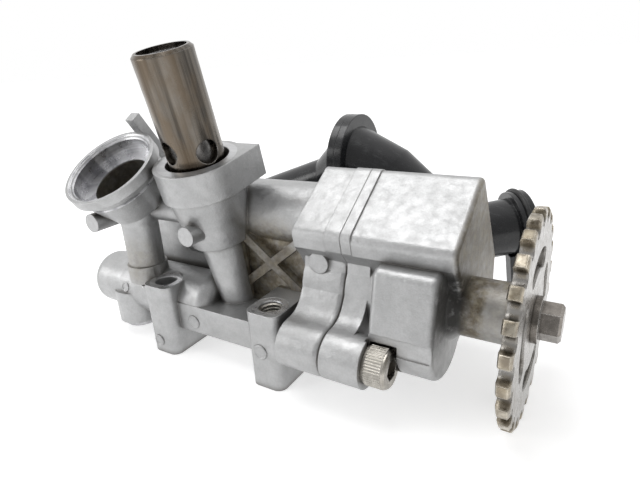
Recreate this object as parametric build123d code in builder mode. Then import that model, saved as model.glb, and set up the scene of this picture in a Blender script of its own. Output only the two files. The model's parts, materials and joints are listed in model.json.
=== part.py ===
"""Engine oil pump: a two-piece die-cast housing with a chain-driven gerotor set.

X runs along the drive shaft toward the sprocket, Y away from the mounting bosses' front,
Z up. The origin lies on the foot plane, midway between the two front mounting holes.
Lengths are millimetres, angles are degrees.
"""

import os
from math import atan2, cos, pi, radians, sin

from build123d import *

# Running fits, clearances and cutting overrun
running_gap = 0.04
side_gap = 0.06
slip_gap = 0.15
overrun = 2.0

# Mounting bosses
foot_spacing = 40.3
boss_width = 10.6
boss_height = 23.0
boss_depth = 12.0
boss_corner = 2.6
mount_hole_radius = 3.3
spot_face_radius = 5.2
spot_face_height = 8.0
rear_boss_x = 29.5
rear_boss_y = 49.0
rear_boss_radius = 6.5

# Drive shaft line and housing stations along it
shaft_y = 16.7
sprocket_radius = 26.0
shaft_z = sprocket_radius
body_left_x = 25.8
parting_x = 40.0
cover_length = 29.0
lobe_end_step = 3.0
cover_end_x = parting_x + cover_length
lobe_end_x = cover_end_x - lobe_end_step
lobe_start_x = 50.0
lobe_end_round = 1.5
flange_width = 6.5

# Box behind the raised deck, seen along the shaft
deck_front_y = 4.5
deck_front_z = 44.0
deck_slope = 32.5
deck_width = 24.8
deck_face = 4.8
deck_round = 2.6
rear_wall_slope = 33.0
rear_wall_length = 32.5
box_floor_z = 19.0
deck_band_rise = 0.45
deck_band_left = 4.6
deck_band_right = 2.8
box_end_round = 1.2

# Round lobe of the cover
lobe_y = 10.4
lobe_z = 22.1
lobe_radius = 12.9
lobe_top_y = 1.4
lobe_top_z = 38.7
lobe_top_rise = 0.8
lobe_top_round = 2.4
lobe_heel_y = 22.0
lobe_heel_z = 14.0
band_z = 21.3
band_depth = 0.8
band_width = 4.7

# Front ear with its screw lug
lug_y = -2.4
lug_z = 15.6
lug_radius = 6.5
lug_left_x = 27.2
ear_round = 1.8
lug_right_x = 50.6
ear_top_y = 8.0
ear_top_z = 36.0
ear_waist_y = 5.6
ear_waist_z = 27.5
ear_back_y = 20.0
rear_lug_y = 37.0
rear_lug_z = 17.5
high_lug_y = 38.5
high_lug_z = 41.0
pocket_wall = 2.0
neck_radius = 7.5
neck_end_x = 80.5
neck_root = 2.0
root_taper = 45.0

# Shaft, bushes and the gerotor set
shaft_radius = 5.0
tail_radius = 4.0
tail_start_x = 57.0
tail_end_x = 28.6
bush_wall = 1.0
neck_bush_length = 12.0
body_bush_length = 9.0
rotor_thickness = 14.0
rotor_outer_radius = 9.8
inner_lobes = 6
eccentricity = 0.95
tooth_radius = 2.4
tooth_circle = 8.6
rotor_gap = 0.05
drive_pin_radius = 1.0
drive_pin_half = 4.7
port_depth = 4.0
port_width = 3.0
port_circle = 6.9
port_sweep = 100.0
flank_points = 18

# Chain sprocket and its bolt
sprocket_teeth = 24
chain_pitch = 6.35
roller_radius = 1.75
sprocket_thickness = 2.9
sprocket_seat_x = 81.0
seat_radius = 4.4
seat_flat = 3.6
gap_flare_share = 1.25
rim_bevel = 0.8
window_circle = 14.5
window_width = 5.0
window_sweep = 52.0
windows = 4
bolt_radius = 3.0
bolt_length = 14.0
bolt_flange_radius = 5.6
bolt_flange = 1.5
bolt_across_flats = 8.0
bolt_head = 6.1
bolt_bevel = 0.6
bolt_turn = 12.0

# Housing screws and dowels
screw_radius = 3.0
screw_hole_radius = 3.3
screw_head_radius = 5.0
screw_head_height = 6.0
screw_head_bevel = 0.5
screw_head_room = 0.9
screw_length = 22.0
hex_socket_flats = 5.0
hex_socket_depth = 3.2
dowel_radius = 4.4
dowel_length = 9.0

# Relief valve
valve_x = -4.6
valve_y = 5.3
valve_z = 61.0
valve_tilt = 13.0
valve_flange_radius = 12.6
valve_flange_thickness = 9.0
valve_heel = 13.4
valve_heel_depth = 11.4
valve_body_radius = 11.6
valve_body_foot_radius = 9.4
valve_body_length = 16.0
valve_post_top_radius = 7.0
valve_post_foot_radius = 5.0
valve_post_foot_x = 0.4
valve_post_foot_y = 9.6
valve_post_sink = 1.5
sleeve_radius = 7.9
sleeve_wall = 1.5
sleeve_height = 29.5
sleeve_seat_depth = 15.0
valve_bore_radius = 9.1
valve_recess = 9.0
sleeve_rim = 0.8
sleeve_feed_radius = 5.2
valve_feed_depth = 12.0
port_radius = 3.2
port_height = 2.8
port_turn = -17.0
piston_length = 15.0
piston_wall = 1.6
piston_seat = -2.0
piston_crown = 1.6
spring_wire = 0.7
spring_radius = 4.1
spring_turns = 6
spring_seat_thickness = 1.6
spring_seat_hole = 2.5
clip_wire = 0.6
clip_inset = 1.8
clip_groove = 0.45
clip_width = 1.5
o_ring_wire = 0.9
o_ring_rise = 3.0

# Galleries
gallery_y = 7.5
gallery_z = 15.4
gallery_radius = 9.0
gallery_left_x = -57.3
gallery_right_x = -4.0
gallery_dome = 4.0
plug_boss_radius = 7.4
plug_boss_x = -41.0
plug_boss_y = 4.5
plug_boss_foot = 4.4
plug_radius = 6.0
plug_drop = 2.2
plug_depth = 3.0
plug_round = 1.2
tube_y = 21.0
tube_z = 42.7
tube_left_radius = 9.0
tube_right_radius = 9.7
tube_left_x = -12.0
bridge_radius = 4.6
bridge_y = 6.5
bridge_z = 45.2
web_thickness = 5.0
web_y = 14.0
rib_height = 8.8
rib_bottom_z = 8.4
rib_front_y = -1.6
web_rib_thickness = 2.6
web_rib_depth = 3.0
web_rib_length = 26.0
web_rib_turns = (38.0, -38.0)
fillet_small = 1.0

# Inlet cup port
cup_x = -29.5
cup_y = -5.0
cup_z = 59.5
cup_tilt = 33.5
cup_radius = 14.4
cup_lip = 3.0
cup_waist_radius = 13.4
cup_foot_radius = 9.6
cup_depth = 14.6
cup_bore_radius = 12.3
cup_bore_depth = 5.8
cup_chamfer = 1.0
cup_throat_radius = 8.7
cup_throat_depth = 7.4
cup_neck_radius = 5.6
cup_neck_top_radius = 8.2
cup_neck_flare_z = 40.0
cup_neck_ring = 6.2
cup_neck_ring_top = 26.6
cup_neck_foot_z = 21.0
cup_neck_x = -31.0
cup_neck_y = 2.8
cup_duct_radius = 3.4
tab_width = 3.2
tab_length = 18.0
tab_top = 5.0
tab_x = 1.2
tab_y = 15.4
stub_radius = 2.8
neck_stub_x = -34.6
neck_stub_z = 43.4
neck_stub_y = -11.0
valve_stub_x = -3.4
valve_stub_z = 41.2
valve_stub_y = -4.6
ear_pad_x = 31.9
ear_pad_z = 34.9
ear_pad_y = 6.9
ear_pad_radius = 2.9

# Suction pipe with its inline strainer
strainer_x = 14.8
strainer_y = 62.0
strainer_z = 50.6
strainer_radius = 15.4
strainer_flange = 2.6
strainer_wall = 2.0
mesh_thickness = 0.8
funnel_radius = 11.4
pipe_radius = 7.4
pipe_bore_radius = 5.6
outlet_knee_x = 3.0
outlet_knee_z = 43.0
socket_x = -22.0
socket_z = 34.0
socket_radius = 9.6
socket_mouth_y = 47.0
socket_depth = 9.0
elbow_y = 60.0
inlet_knee_x = 29.0
inlet_knee_z = 46.6
inlet_x = 57.0
inlet_y = 62.0
inlet_z = 28.0
spigot_radius = 9.2
spigot_length = 13.0
spigot_turn = 35.0
spigot_rise = 7.0
collar_radius = 11.2
collar_length = 5.0
groove_depth = 0.9
groove_width = 1.8
strut_width = 4.0
strut_side = -3.0
strut_thickness = 2.4
strut_length = 16.0

# Values that follow from the sizes above
foot_x = foot_spacing / 2
valve_axis = Plane(
    origin=(valve_x, valve_y, valve_z),
    x_dir=(1, 0, 0),
    z_dir=(0, -sin(radians(valve_tilt)), cos(radians(valve_tilt))),
)
cup_axis = Plane(
    origin=(cup_x, cup_y, cup_z),
    x_dir=(1, 0, 0),
    z_dir=(0, -sin(radians(cup_tilt)), cos(radians(cup_tilt))),
)
valve_foot = valve_axis.offset(-valve_flange_thickness - valve_body_length)
deck_along = Vector(cos(radians(deck_slope)), sin(radians(deck_slope)))
deck_front = Vector(deck_front_y, deck_front_z)
deck_rear = deck_front + deck_along * deck_width
wall_down = Vector(sin(radians(rear_wall_slope)), -cos(radians(rear_wall_slope)))
wall_foot = deck_rear + wall_down * rear_wall_length
pocket_y = shaft_y + eccentricity * cos(radians(deck_slope))
pocket_z = shaft_z + eccentricity * sin(radians(deck_slope))
rotor_start_x = parting_x + side_gap
sprocket_outer_x = sprocket_seat_x + sprocket_thickness
lug_places = [(lug_y, lug_z), (rear_lug_y, rear_lug_z), (high_lug_y, high_lug_z)]
dowel_places = lug_places[:2]
screw_depth = screw_length - (lug_right_x - parting_x)
half_turn = 180.0
quarter_turn = 90.0
port_starts = [deck_slope + side * quarter_turn - port_sweep / 2 for side in (-1, 1)]
window_starts = [i * quarter_turn - window_sweep / 2 for i in range(windows)]
body_bush_radius = tail_radius + running_gap + bush_wall
neck_bush_radius = shaft_radius + running_gap + bush_wall
sleeve_bore_radius = sleeve_radius - sleeve_wall
clip_height = sleeve_height - clip_inset
clip_seat_radius = sleeve_bore_radius + clip_groove
spring_top = clip_height - clip_wire - spring_seat_thickness
cup_foot_z = cup_z - cup_depth * cos(radians(cup_tilt))
rib_top_z = rib_bottom_z + rib_height
elbow = Vector(socket_x, elbow_y, socket_z)
outlet_knee = Plane(
    origin=(outlet_knee_x, strainer_y, outlet_knee_z),
    z_dir=Vector(outlet_knee_x, strainer_y, outlet_knee_z) - elbow,
)
outlet_end = Plane(origin=elbow, z_dir=outlet_knee.z_dir)
inlet_knee = Plane(
    origin=(inlet_knee_x, strainer_y, inlet_knee_z),
    z_dir=(inlet_x - inlet_knee_x, 0, inlet_z - inlet_knee_z),
)
spigot_axis = Plane(
    origin=(inlet_x, inlet_y, inlet_z),
    x_dir=(-sin(radians(spigot_turn)), cos(radians(spigot_turn)), 0),
    z_dir=(
        cos(radians(spigot_rise)) * cos(radians(spigot_turn)),
        cos(radians(spigot_rise)) * sin(radians(spigot_turn)),
        sin(radians(spigot_rise)),
    ),
)


def across(x):
    """Section plane across the shaft: sketch x is the part's Y, sketch y its Z."""
    return Plane.YZ.offset(x)


def save(part, name):
    part.label = name
    export_step(part, f"parts/{name}.step")
    return part


def box_outline(rise):
    """Sketch of the deck box as seen along the shaft, with its deck raised."""
    up = Vector(-deck_along.Y, deck_along.X) * rise
    front = deck_front + up
    rear = deck_rear + up
    with BuildSketch(Plane.XY, mode=Mode.PRIVATE) as outline:
        with BuildLine():
            Polyline(
                (front.X, front.Y),
                (rear.X, rear.Y),
                (wall_foot.X, wall_foot.Y),
                (wall_foot.X, box_floor_z),
                (shaft_y, box_floor_z),
                (ear_top_y, ear_top_z),
                (front.X + fillet_small, front.Y - deck_face),
                close=True,
            )
        make_face()
        fillet(outline.vertices().sort_by_distance(front)[0], deck_round)
        fillet(outline.vertices().sort_by_distance(rear)[0], deck_round)
    return outline.sketch


def cover_box():
    """Deck box of the cover with a rounded right end."""
    box = extrude(across(parting_x) * box_outline(0), amount=cover_length)
    return fillet(box.faces().sort_by(Axis.X)[-1].edges(), box_end_round)


def ear_outline():
    """Sketch of the flange at the parting face: a waisted ear that swells into the lug."""
    with BuildSketch(Plane.XY, mode=Mode.PRIVATE) as outline:
        with BuildLine():
            upper = Line((ear_back_y, ear_top_z), (ear_top_y, ear_top_z))
            swell = Spline(
                upper @ 1,
                (ear_waist_y, ear_waist_z),
                (lug_y, lug_z + lug_radius),
                tangents=[(0, -1), (-1, 0)],
            )
            lug_front = ThreePointArc(
                swell @ 1,
                (lug_y - lug_radius, lug_z),
                (lug_y, lug_z - lug_radius),
            )
            Polyline(lug_front @ 1, (ear_back_y, lug_z - lug_radius), upper @ 0)
        make_face()
        with Locations(*lug_places):
            Circle(lug_radius)
        with Locations((pocket_y, pocket_z)):
            Circle(rotor_outer_radius + pocket_wall)
    return outline.sketch


def lobe_outline():
    """Sketch of the round lobe: a straight front wall that runs into a round bottom."""
    with BuildSketch(Plane.XY, mode=Mode.PRIVATE) as outline:
        with BuildLine():
            front = Line((lobe_top_y, lobe_top_z), (lobe_y - lobe_radius, lobe_z))
            bottom = ThreePointArc(
                front @ 1,
                (lobe_y - lobe_radius * sin(pi / 4), lobe_z - lobe_radius * sin(pi / 4)),
                (lobe_y, lobe_z - lobe_radius),
            )
            Polyline(
                bottom @ 1,
                (lobe_heel_y, lobe_heel_z),
                (shaft_y, lobe_top_z + lobe_top_rise),
                front @ 0,
            )
        make_face()
        fillet(outline.vertices().sort_by_distance(front @ 0)[0], lobe_top_round)
    return outline.sketch


def lug_screws_outline(radius):
    """Sketch of equal circles on the screw places."""
    with BuildSketch(Plane.XY, mode=Mode.PRIVATE) as outline:
        with Locations(*lug_places):
            Circle(radius)
    return outline.sketch


def axial_section(plane):
    """Plane that holds the axis of the given plane: sketch x is its radius, y its axis."""
    return Plane(origin=plane.origin, x_dir=plane.x_dir, z_dir=plane.x_dir.cross(plane.z_dir))


def make_body():
    """Main casting: box half, galleries, mounting bosses, inlet cup and valve boss."""
    with BuildPart() as body:
        # Lower gallery with domed ends, drawn first so that its edges round freely
        with BuildSketch(across(gallery_left_x)):
            with Locations((gallery_y, gallery_z)):
                Circle(gallery_radius)
        extrude(amount=gallery_right_x - gallery_left_x)
        fillet(body.edges().filter_by(GeomType.CIRCLE), gallery_dome)
        # Front ear with its rounded end, the box and the low band at the seam
        with BuildSketch(across(lug_left_x)):
            add(ear_outline())
        extrude(amount=parting_x - lug_left_x)
        fillet(body.faces().filter_by(Axis.X).sort_by(Axis.X)[-2].edges(), ear_round)
        with BuildSketch(across(body_left_x)):
            add(box_outline(0))
        extrude(amount=parting_x - body_left_x)
        with BuildSketch(across(parting_x)):
            add(box_outline(deck_band_rise))
        extrude(amount=-deck_band_left)
        with BuildSketch(Plane.XZ.offset(-ear_pad_y)):
            with Locations((ear_pad_x, ear_pad_z)):
                Circle(ear_pad_radius)
        extrude(amount=-ear_waist_y)
        # Boss of the core plug
        with BuildSketch(Plane.XY.offset(plug_boss_foot)):
            with Locations((plug_boss_x, plug_boss_y)):
                Circle(plug_boss_radius)
        extrude(amount=gallery_z - plug_boss_foot)
        # Mounting bosses with the floor between them
        with BuildSketch(Plane.XY):
            with Locations((-foot_x, 0), (foot_x, 0)):
                RectangleRounded(boss_width, boss_width, boss_corner)
            with Locations((-foot_x, boss_depth / 2), (foot_x, boss_depth / 2)):
                Rectangle(boss_width, boss_depth)
            with Locations((rear_boss_x, rear_boss_y)):
                Circle(rear_boss_radius)
        extrude(amount=boss_height)
        with BuildSketch(Plane.XY.offset(rib_bottom_z)):
            with Locations((0, (rib_front_y + web_y) / 2)):
                Rectangle(foot_spacing, web_y - rib_front_y)
            with Locations((rear_boss_x, (rear_boss_y + rear_lug_y) / 2)):
                Rectangle(rear_boss_radius, rear_boss_y - rear_lug_y)
        extrude(amount=rib_height)
        # Upper gallery, widening toward the box
        with BuildSketch(across(tube_left_x)):
            with Locations((tube_y, tube_z)):
                Circle(tube_left_radius)
        with BuildSketch(across(body_left_x)):
            with Locations((tube_y, tube_z)):
                Circle(tube_right_radius)
        loft()
        # Web that ties the two galleries to the box, with its crossed ribs
        with BuildSketch(Plane.XZ.offset(-web_y)):
            with Locations(((cup_neck_x + body_left_x) / 2, (rib_bottom_z + bridge_z) / 2)):
                Rectangle(body_left_x - cup_neck_x, bridge_z - rib_bottom_z)
        extrude(amount=-web_thickness)
        with BuildSketch(Plane.XZ.offset(-web_y)):
            with Locations(((valve_post_foot_x + body_left_x) / 2, (rib_top_z + tube_z) / 2)):
                for turn in web_rib_turns:
                    Rectangle(web_rib_length, web_rib_thickness, rotation=turn)
        extrude(amount=web_rib_depth)
        # Relief valve boss on its post
        with BuildSketch(valve_axis):
            Circle(valve_flange_radius)
            Polygon(
                (0, 0),
                (valve_flange_radius, 0),
                (valve_heel, valve_heel_depth),
                (0, valve_heel_depth),
                align=None,
            )
        extrude(amount=-valve_flange_thickness)
        with BuildSketch(valve_axis.offset(-valve_flange_thickness)):
            Circle(valve_body_radius)
        with BuildSketch(valve_foot):
            Circle(valve_body_foot_radius)
        loft()
        with BuildSketch(valve_foot.offset(valve_post_sink)):
            Circle(valve_post_top_radius)
        with BuildSketch(Plane.XY.offset(rib_top_z - valve_post_sink)):
            with Locations((valve_post_foot_x, valve_post_foot_y)):
                Circle(valve_post_foot_radius)
        loft()
        # Inlet cup with its tab, on a neck tied to the upper gallery
        with BuildSketch(axial_section(cup_axis)):
            with BuildLine():
                Polyline(
                    (0, 0),
                    (cup_radius, 0),
                    (cup_radius, -cup_lip),
                    (cup_waist_radius, -cup_lip),
                    (cup_foot_radius, -cup_depth),
                    (0, -cup_depth),
                    close=True,
                )
            make_face()
        revolve(axis=Axis(cup_axis.origin, cup_axis.z_dir))
        with BuildSketch(cup_axis.offset(tab_top)):
            with Locations((tab_x, tab_y)):
                Rectangle(tab_width, tab_width)
        extrude(amount=-tab_length)
        with BuildSketch(Plane.XY.offset(cup_neck_foot_z)):
            with Locations((cup_neck_x, cup_neck_y)):
                Circle(cup_neck_radius)
        extrude(amount=cup_neck_flare_z - cup_neck_foot_z)
        with BuildSketch(Plane.XY.offset(cup_neck_flare_z)):
            with Locations((cup_neck_x, cup_neck_y)):
                Circle(cup_neck_radius)
        with BuildSketch(Plane.XY.offset(cup_foot_z)):
            with Locations((cup_neck_x, cup_neck_y)):
                Circle(cup_neck_top_radius)
        loft()
        with BuildSketch(Plane.XY.offset(cup_neck_foot_z)):
            with Locations((cup_neck_x, cup_neck_y)):
                Circle(cup_neck_ring)
        extrude(amount=cup_neck_ring_top - cup_neck_foot_z)
        with BuildSketch(across(cup_neck_x)):
            with Locations((bridge_y, bridge_z)):
                Circle(bridge_radius)
        extrude(amount=valve_x - cup_neck_x)
        # Ejector stubs on the neck and on the valve boss
        with BuildSketch(Plane.XZ.offset(-neck_stub_y)):
            with Locations((neck_stub_x, neck_stub_z)):
                Circle(stub_radius)
        extrude(amount=neck_stub_y - cup_neck_y)
        with BuildSketch(Plane.XZ.offset(-valve_stub_y)):
            with Locations((valve_stub_x, valve_stub_z)):
                Circle(stub_radius)
        extrude(amount=valve_stub_y - valve_post_foot_y)
        # Socket for the suction pipe
        with BuildSketch(across(socket_x)):
            with Locations((tube_y, socket_z)):
                Circle(socket_radius)
        extrude(amount=valve_x - socket_x)
        with BuildSketch(Plane.XZ.offset(-socket_mouth_y)):
            with Locations((socket_x, socket_z)):
                Circle(socket_radius)
        extrude(amount=socket_mouth_y - web_y)
        # Openings of the castings
        with BuildSketch(axial_section(cup_axis)):
            with BuildLine():
                Polyline(
                    (0, overrun),
                    (cup_bore_radius + cup_chamfer, overrun),
                    (cup_bore_radius + cup_chamfer, 0),
                    (cup_bore_radius, -cup_chamfer),
                    (cup_bore_radius, -cup_bore_depth),
                    (cup_throat_radius, -cup_bore_depth),
                    (cup_throat_radius, -cup_throat_depth - cup_bore_depth),
                    (0, -cup_throat_depth - cup_bore_depth),
                    close=True,
                )
            make_face()
        revolve(axis=Axis(cup_axis.origin, cup_axis.z_dir), mode=Mode.SUBTRACT)
        with BuildSketch(Plane.XY.offset(gallery_z)):
            with Locations((cup_neck_x, cup_neck_y)):
                Circle(cup_duct_radius)
        extrude(amount=cup_foot_z - gallery_z + overrun, mode=Mode.SUBTRACT)
        with BuildSketch(valve_axis.offset(overrun)):
            Circle(valve_bore_radius)
        extrude(amount=-valve_recess - overrun, mode=Mode.SUBTRACT)
        with BuildSketch(valve_axis):
            Circle(sleeve_radius)
        extrude(amount=-sleeve_seat_depth, mode=Mode.SUBTRACT)
        with BuildSketch(valve_axis):
            Circle(sleeve_feed_radius)
        extrude(amount=-valve_flange_thickness - valve_feed_depth, mode=Mode.SUBTRACT)
        with BuildSketch(Plane.XZ.offset(-socket_mouth_y - overrun)):
            with Locations((socket_x, socket_z)):
                Circle(pipe_radius + slip_gap)
        extrude(amount=socket_depth + overrun, mode=Mode.SUBTRACT)
        with BuildSketch(Plane.XZ.offset(-socket_mouth_y)):
            with Locations((socket_x, socket_z)):
                Circle(pipe_bore_radius)
        extrude(amount=socket_mouth_y - tube_y, mode=Mode.SUBTRACT)
        with BuildSketch(Plane.XY):
            with Locations((-foot_x, 0), (foot_x, 0), (rear_boss_x, rear_boss_y)):
                Circle(mount_hole_radius)
        extrude(amount=boss_height + overrun, mode=Mode.SUBTRACT)
        with BuildSketch(Plane.XY.offset(boss_height)):
            with Locations((-foot_x, 0), (foot_x, 0), (rear_boss_x, rear_boss_y)):
                Circle(spot_face_radius)
        extrude(amount=spot_face_height, mode=Mode.SUBTRACT)
        with BuildSketch(Plane.XY):
            with Locations((plug_boss_x, plug_boss_y)):
                Circle(plug_radius)
        extrude(amount=plug_boss_foot + plug_depth, mode=Mode.SUBTRACT)
        # Parting face: bush seat, ports, screw holes and dowel seats
        with BuildSketch(across(parting_x)):
            with Locations((shaft_y, shaft_z)):
                Circle(body_bush_radius)
        extrude(amount=-body_bush_length, mode=Mode.SUBTRACT)
        with BuildSketch(across(parting_x)):
            with Locations((shaft_y, shaft_z)):
                Circle(tail_radius + slip_gap)
        extrude(amount=tail_end_x - parting_x - slip_gap, mode=Mode.SUBTRACT)
        with BuildSketch(across(parting_x)):
            with Locations((pocket_y, pocket_z)):
                for start in port_starts:
                    SlotArc(CenterArc((0, 0), port_circle, start, port_sweep), port_width)
        extrude(amount=-port_depth, mode=Mode.SUBTRACT)
        with BuildSketch(across(parting_x)):
            add(lug_screws_outline(screw_radius))
        extrude(amount=-screw_depth - overrun, mode=Mode.SUBTRACT)
        with BuildSketch(across(parting_x)):
            with Locations(*dowel_places):
                Circle(dowel_radius)
        extrude(amount=-dowel_length / 2, mode=Mode.SUBTRACT)
    return save(body.part, "pump_body")


def make_cover():
    """Cover casting: flange, rotor pocket, round lobe, box half and shaft neck."""
    box = cover_box()
    with BuildPart() as cover:
        # Lobe, drawn first so that its ends round freely
        with BuildSketch(across(lobe_start_x)):
            add(lobe_outline())
        extrude(amount=lobe_end_x - lobe_start_x)
        fillet(cover.faces().filter_by(Axis.X).edges(), lobe_end_round)
        # Box half, flange, lugs and neck
        add(box)
        with BuildSketch(across(parting_x)):
            add(ear_outline())
        extrude(amount=flange_width)
        with BuildSketch(across(parting_x)):
            add(lug_screws_outline(lug_radius))
        extrude(amount=lug_right_x - parting_x)
        with BuildSketch(across(parting_x)):
            with Locations((pocket_y, pocket_z)):
                Circle(rotor_outer_radius + pocket_wall)
        extrude(amount=lobe_end_x - parting_x)
        with BuildSketch(across(parting_x)):
            add(box_outline(deck_band_rise))
        extrude(amount=deck_band_right)
        with BuildSketch(across(lobe_start_x)):
            with Locations((shaft_y, shaft_z)):
                Circle(neck_radius)
        extrude(amount=neck_end_x - lobe_start_x)
        with BuildSketch(across(lobe_end_x)):
            with Locations((shaft_y, shaft_z)):
                Circle(neck_radius + neck_root)
        extrude(amount=neck_root, taper=root_taper)
        # Recessed band along the front of the lobe
        with BuildSketch(across(lobe_start_x)):
            with Locations((lobe_y - lobe_radius, band_z)):
                Rectangle(2 * band_depth, band_width)
        extrude(amount=cover_length, mode=Mode.SUBTRACT)
        # Room for the heads of the screws
        with BuildSketch(across(lug_right_x)):
            add(lug_screws_outline(screw_head_radius + screw_head_room))
        extrude(amount=screw_head_height + screw_head_room, mode=Mode.SUBTRACT)
        # Rotor pocket, shaft bore and bush seat
        with BuildSketch(across(parting_x)):
            with Locations((pocket_y, pocket_z)):
                Circle(rotor_outer_radius + running_gap)
        extrude(amount=rotor_thickness + 2 * side_gap, mode=Mode.SUBTRACT)
        with BuildSketch(across(parting_x)):
            with Locations((shaft_y, shaft_z)):
                Circle(tail_radius + slip_gap)
        extrude(amount=neck_end_x - parting_x, mode=Mode.SUBTRACT)
        with BuildSketch(across(tail_start_x - slip_gap)):
            with Locations((shaft_y, shaft_z)):
                Circle(shaft_radius + slip_gap)
        extrude(amount=neck_end_x - tail_start_x + overrun, mode=Mode.SUBTRACT)
        with BuildSketch(across(neck_end_x)):
            with Locations((shaft_y, shaft_z)):
                Circle(neck_bush_radius)
        extrude(amount=-neck_bush_length, mode=Mode.SUBTRACT)
        with BuildSketch(across(parting_x)):
            add(lug_screws_outline(screw_hole_radius))
        extrude(amount=lug_right_x - parting_x + overrun, mode=Mode.SUBTRACT)
        with BuildSketch(across(parting_x)):
            with Locations(*dowel_places):
                Circle(dowel_radius)
        extrude(amount=dowel_length / 2, mode=Mode.SUBTRACT)
    return save(cover.part, "pump_cover")


def make_shaft():
    """Drive shaft: thick through the neck, thin through the rotors, tapped at the end."""
    with BuildPart() as shaft:
        with BuildSketch(across(tail_end_x)):
            with Locations((shaft_y, shaft_z)):
                Circle(tail_radius)
        extrude(amount=tail_start_x - tail_end_x)
        with BuildSketch(across(tail_start_x)):
            with Locations((shaft_y, shaft_z)):
                Circle(shaft_radius)
        extrude(amount=sprocket_seat_x - tail_start_x)
        with BuildSketch(across(sprocket_seat_x)):
            with Locations((shaft_y, shaft_z)):
                add(seat_outline(0))
        extrude(amount=sprocket_thickness - side_gap)
        with BuildSketch(across(sprocket_outer_x)):
            with Locations((shaft_y, shaft_z)):
                Circle(bolt_radius)
        extrude(amount=-bolt_length - overrun, mode=Mode.SUBTRACT)
        with Locations(drive_pin_place()):
            Cylinder(drive_pin_radius, 2 * shaft_radius, mode=Mode.SUBTRACT)
    return save(shaft.part, "drive_shaft")


def seat_outline(gap):
    """Sketch of the sprocket seat: a round with two flats, grown by a gap."""
    with BuildSketch(Plane.XY, mode=Mode.PRIVATE) as outline:
        Circle(seat_radius + gap)
        Rectangle(2 * seat_flat + 2 * gap, 4 * seat_radius, mode=Mode.INTERSECT)
    return outline.sketch


def drive_pin_place():
    """Location of the cross pin: upright through the shaft, in the rotor's left face."""
    return Location((rotor_start_x + drive_pin_radius + side_gap, shaft_y, shaft_z))


def make_drive_pin():
    with BuildPart() as pin:
        with Locations(drive_pin_place()):
            Cylinder(drive_pin_radius, 2 * drive_pin_half)
    return save(pin.part, "drive_pin")


def make_bushes():
    """Plain bushes: one in the neck, one in the main casting."""
    with BuildPart() as bushes:
        with BuildSketch(across(neck_end_x)):
            with Locations((shaft_y, shaft_z)):
                Circle(neck_bush_radius)
                Circle(shaft_radius + running_gap, mode=Mode.SUBTRACT)
        extrude(amount=-neck_bush_length)
        with BuildSketch(across(parting_x)):
            with Locations((shaft_y, shaft_z)):
                Circle(body_bush_radius)
                Circle(tail_radius + running_gap, mode=Mode.SUBTRACT)
        extrude(amount=-body_bush_length)
    return save(bushes.part, "shaft_bushes")


def trochoid(t):
    """Point of the inner rotor's flank, the envelope of the outer rotor's round teeth."""
    teeth = inner_lobes + 1
    lean = atan2(sin(-inner_lobes * t), tooth_circle / (eccentricity * teeth) - cos(inner_lobes * t))
    reach = tooth_radius + rotor_gap
    x = tooth_circle * cos(t) - reach * cos(t + lean) - eccentricity * cos(teeth * t)
    y = -tooth_circle * sin(t) + reach * sin(t + lean) + eccentricity * sin(teeth * t)
    return x, y


def flank_outline():
    """Sketch of the inner rotor's lobes about its own centre."""
    steps = flank_points * inner_lobes
    with BuildSketch(Plane.XY, mode=Mode.PRIVATE) as outline:
        with BuildLine():
            Spline([trochoid(2 * pi * i / steps) for i in range(steps)], periodic=True)
        make_face()
    return outline.sketch


def make_inner_rotor():
    """Six-lobed inner rotor with the slot for the cross pin in its left face."""
    with BuildPart() as rotor:
        with BuildSketch(across(rotor_start_x)):
            with Locations((shaft_y, shaft_z)):
                add(flank_outline(), rotation=deck_slope + half_turn)
                Circle(tail_radius + running_gap, mode=Mode.SUBTRACT)
        extrude(amount=rotor_thickness)
        with BuildSketch(across(rotor_start_x)):
            with Locations((shaft_y, shaft_z)):
                Rectangle(2 * drive_pin_radius + slip_gap, 2 * drive_pin_half + slip_gap)
        extrude(amount=2 * drive_pin_radius + slip_gap, mode=Mode.SUBTRACT)
    return save(rotor.part, "inner_rotor")


def cavity_outline():
    """Sketch of the outer rotor's cavity: a round with the round teeth left standing."""
    with BuildSketch(Plane.XY, mode=Mode.PRIVATE) as outline:
        Circle(tooth_circle - tooth_radius + 2 * eccentricity + rotor_gap)
        with PolarLocations(tooth_circle, inner_lobes + 1):
            Circle(tooth_radius, mode=Mode.SUBTRACT)
    return outline.sketch


def make_outer_rotor():
    """Outer rotor: a ring with round teeth, one more than the inner rotor has."""
    with BuildPart() as rotor:
        with BuildSketch(across(rotor_start_x)):
            with Locations((pocket_y, pocket_z)):
                Circle(rotor_outer_radius)
                add(cavity_outline(), rotation=deck_slope + half_turn, mode=Mode.SUBTRACT)
        extrude(amount=rotor_thickness)
    return save(rotor.part, "outer_rotor")


def wheel_outline():
    """Sketch of the sprocket: roller seats, arc windows and the two-flat bore."""
    pitch_radius = chain_pitch / (2 * sin(pi / sprocket_teeth))
    flare = roller_radius * gap_flare_share
    with BuildSketch(Plane.XY, mode=Mode.PRIVATE) as outline:
        Circle(sprocket_radius)
        with PolarLocations(pitch_radius, sprocket_teeth):
            Circle(roller_radius, mode=Mode.SUBTRACT)
            Polygon(
                (0, -roller_radius),
                (2 * roller_radius, -flare),
                (2 * roller_radius, flare),
                (0, roller_radius),
                align=None,
                mode=Mode.SUBTRACT,
            )
        for start in window_starts:
            arc = CenterArc((0, 0), window_circle, start, window_sweep)
            SlotArc(arc, window_width, mode=Mode.SUBTRACT)
        add(seat_outline(slip_gap / 2), mode=Mode.SUBTRACT)
    return outline.sketch


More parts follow.
